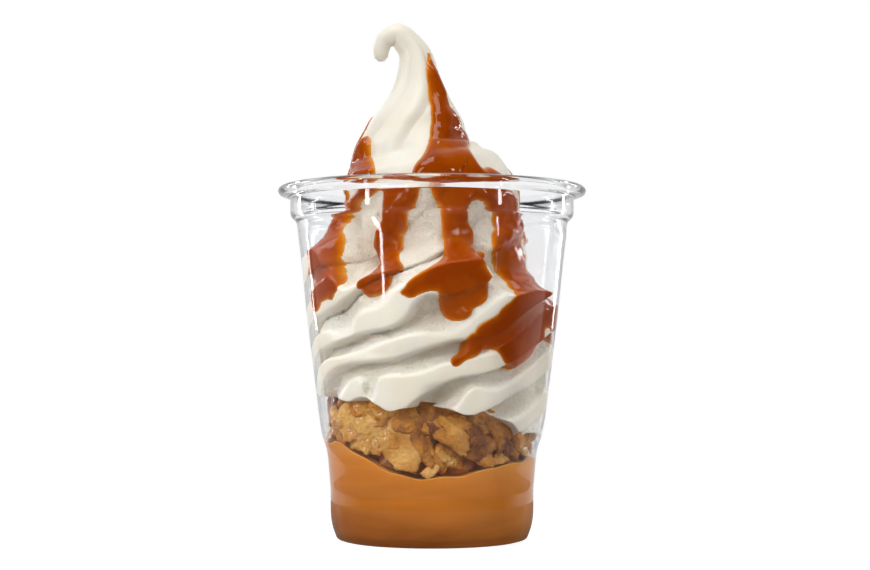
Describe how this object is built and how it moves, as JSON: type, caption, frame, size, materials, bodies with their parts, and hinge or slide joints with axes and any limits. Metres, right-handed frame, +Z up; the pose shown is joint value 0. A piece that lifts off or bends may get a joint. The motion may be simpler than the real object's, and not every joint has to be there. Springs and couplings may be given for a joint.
{
  "type": "sundae",
  "caption": "Soft-serve sundae in a clear panelled cup: caramel sauce below, broken biscuit, swirled ice cream with a hooked peak and caramel running down it.",
  "frame": {"origin": "centre of the cup's foot, on the surface it stands on", "axes": "+Z up along the cup, -Y towards the looked-at side, +X to that viewer's right"},
  "size_m": [0.092, 0.092, 0.154],
  "materials": {
    "clear_plastic": "clear polished thin plastic",
    "caramel": "wet glossy sauce",
    "biscuit": "baked, porous and glazed in places",
    "ice_cream": "soft satin, rough in the furrows"
  },
  "bodies": {
    "root": {"cup": "clear_plastic", "caramel_sauce": "caramel", "biscuit_pieces": "biscuit", "ice_cream": "ice_cream"}
  },
  "joints": []
}
